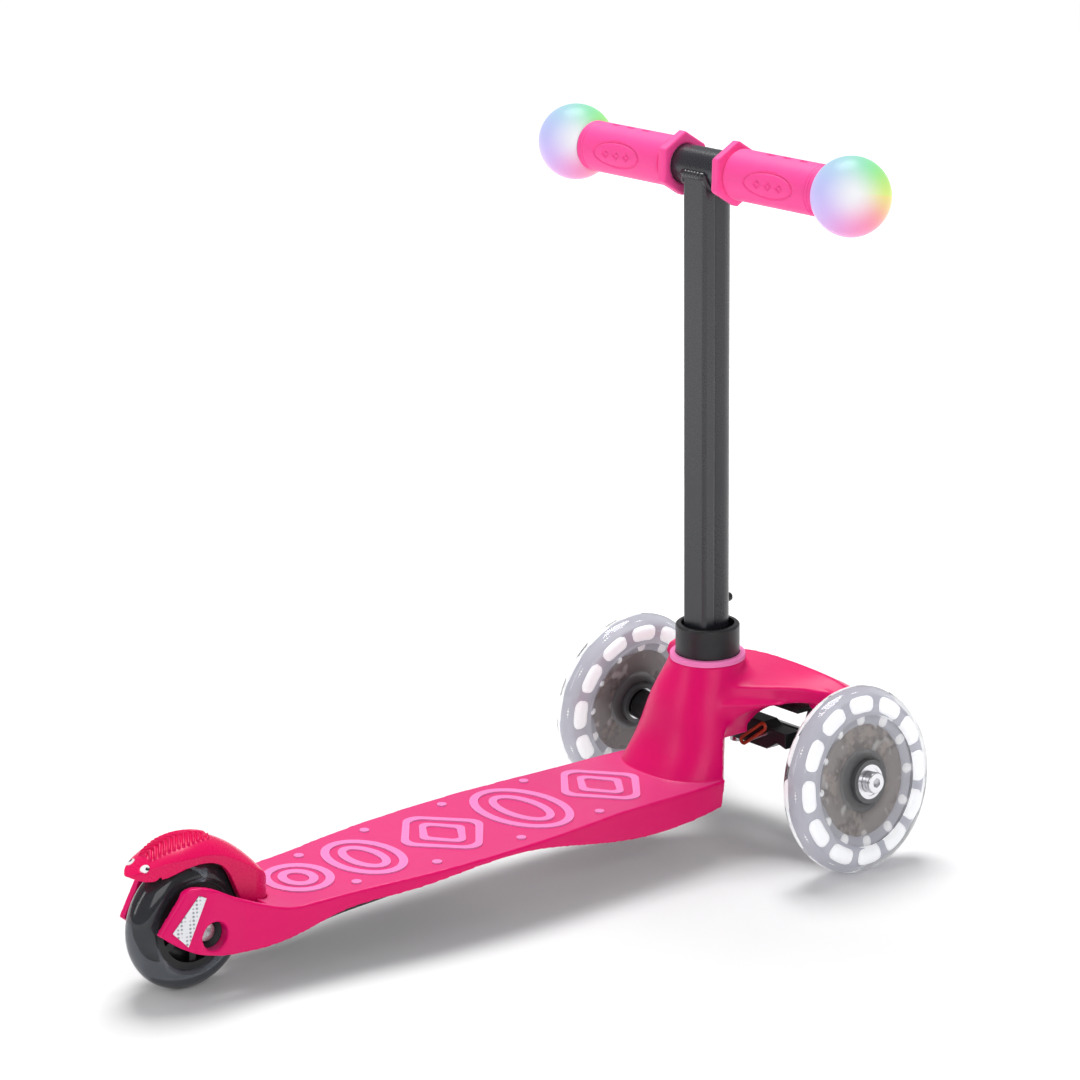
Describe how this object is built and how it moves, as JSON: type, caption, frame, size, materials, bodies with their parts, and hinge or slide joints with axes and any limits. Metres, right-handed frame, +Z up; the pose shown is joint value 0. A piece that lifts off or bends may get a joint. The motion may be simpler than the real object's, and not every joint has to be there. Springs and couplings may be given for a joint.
{
  "type": "kick scooter",
  "caption": "Lean-steered kick scooter for a small child: pink moulded deck, light-up front wheels, rear wheel with foot brake, black telescopic T-bar and glowing bar-end balls.",
  "frame": {"origin": "on the ground, at the middle of the overall length and width", "axes": "+X to the rider's right, +Y forward in the riding direction, +Z up"},
  "size_m": [0.2948, 0.5465, 0.4644],
  "materials": {
    "deck_pink": "satin",
    "pale_pink": "matte",
    "black_plastic": "matte",
    "steel": "satin",
    "bare_steel": "satin",
    "reflector": "prismatic",
    "red_rubber": "satin",
    "stem_black": "satin",
    "grip_pink": "matte",
    "frosted_white": "frosted",
    "white_plastic": "satin",
    "board": "satin",
    "lamp": "clear",
    "smoky_tyre": "gloss",
    "brake_pink": "gloss",
    "bronze": "satin",
    "clear_tyre": "clear",
    "clear_core": "clear",
    "grey_plastic": "satin",
    "copper": "satin"
  },
  "bodies": {
    "deck": {"deck_shell": "deck_pink", "deck_pattern": "pale_pink", "under_rail": "black_plastic", "rail_screws": "steel", "reflectors": "reflector", "neck_ring": "pale_pink", "stem_collar": "black_plastic", "inner_tube": "bare_steel", "stem_plug": "steel", "stem_bolt": "steel", "kingpins": "steel", "front_bracket": "black_plastic", "bracket_bolt": "steel", "steering_bands": "red_rubber", "band_wires": "steel", "rear_axle": "steel", "rear_nut": "steel", "rear_washers": "black_plastic", "brake_pin": "steel"},
    "t_bar": {"stem_tube": "stem_black", "cross_tube": "stem_black", "weld_bead": "stem_black", "grip_left": "grip_pink", "grip_right": "grip_pink", "light_ball_left": "frosted_white", "light_ball_right": "frosted_white", "light_bases": "white_plastic", "light_boards": "board", "light_leds": "lamp"},
    "snap_button": {"snap_button": "black_plastic"},
    "tie_rod": {"tie_rod": "black_plastic"},
    "rear_wheel": {"rear_tyre": "smoky_tyre", "rear_core": "black_plastic", "rear_bearings": "steel", "rear_sleeve": "steel"},
    "brake": {"brake_fender": "brake_pink", "brake_pad": "steel", "brake_eyes": "white_plastic"},
    "knuckle_right": {"knuckle_right": "black_plastic", "kingpin_bushes_right": "bronze", "front_axle_right": "steel", "tie_pin_right": "steel"},
    "front_wheel_right": {"front_tyre_right": "clear_tyre", "front_core_right": "clear_core", "front_hub_right": "grey_plastic", "front_coils_right": "copper", "front_leds_right": "lamp", "front_bearings_right": "steel", "front_sleeve_right": "steel"},
    "knuckle_left": {"knuckle_left": "black_plastic", "kingpin_bushes_left": "bronze", "front_axle_left": "steel", "tie_pin_left": "steel"},
    "front_wheel_left": {"front_tyre_left": "clear_tyre", "front_core_left": "clear_core", "front_hub_left": "grey_plastic", "front_coils_left": "copper", "front_leds_left": "lamp", "front_bearings_left": "steel", "front_sleeve_left": "steel"}
  },
  "joints": [
    {"name": "t_bar_height", "type": "slide", "parent": "deck", "child": "t_bar", "axis": [0, -0.0384, 0.9993], "range_m": [0, 0.19]},
    {"name": "button_pull", "type": "slide", "parent": "t_bar", "child": "snap_button", "axis": [0, 0.9993, 0.0384], "range_m": [0, 0.003], "stiffness_N_per_m": 400, "springref_m": -0.002},
    {"name": "steer_right", "type": "hinge", "parent": "deck", "child": "knuckle_right", "pos_m": [0.066, 0.21325, 0.05461], "axis": [0, 0.342, 0.9397], "range_deg": [-15, 15], "stiffness_Nm_per_rad": 6},
    {"name": "steer_left", "type": "hinge", "parent": "deck", "child": "knuckle_left", "pos_m": [-0.066, 0.21325, 0.05461], "axis": [0, 0.342, 0.9397], "range_deg": [-15, 15], "stiffness_Nm_per_rad": 6},
    {"name": "tie_rod_pivot", "type": "hinge", "parent": "knuckle_right", "child": "tie_rod", "pos_m": [0.066, 0.2358, 0.0464], "axis": [0, 0.342, 0.9397], "range_deg": [-15, 15]},
    {"name": "front_right_spin", "type": "hinge", "parent": "knuckle_right", "child": "front_wheel_right", "pos_m": [0.107, 0.21325, 0.05964], "axis": [0.9925, 0, 0.1219], "continuous": true},
    {"name": "front_left_spin", "type": "hinge", "parent": "knuckle_left", "child": "front_wheel_left", "pos_m": [-0.107, 0.21325, 0.05964], "axis": [0.9925, 0, -0.1219], "continuous": true},
    {"name": "rear_spin", "type": "hinge", "parent": "deck", "child": "rear_wheel", "pos_m": [0, -0.23175, 0.04], "axis": [1, 0, 0], "continuous": true},
    {"name": "brake_press", "type": "hinge", "parent": "deck", "child": "brake", "pos_m": [0, -0.18525, 0.043], "axis": [1, 0, 0], "range_deg": [0, 2.2], "stiffness_Nm_per_rad": 15, "springref_deg": -2.86}
  ],
  "couplings": [
    {"joint": "steer_left", "follows": "steer_right", "ratio": 1},
    {"joint": "tie_rod_pivot", "follows": "steer_right", "ratio": -1}
  ]
}
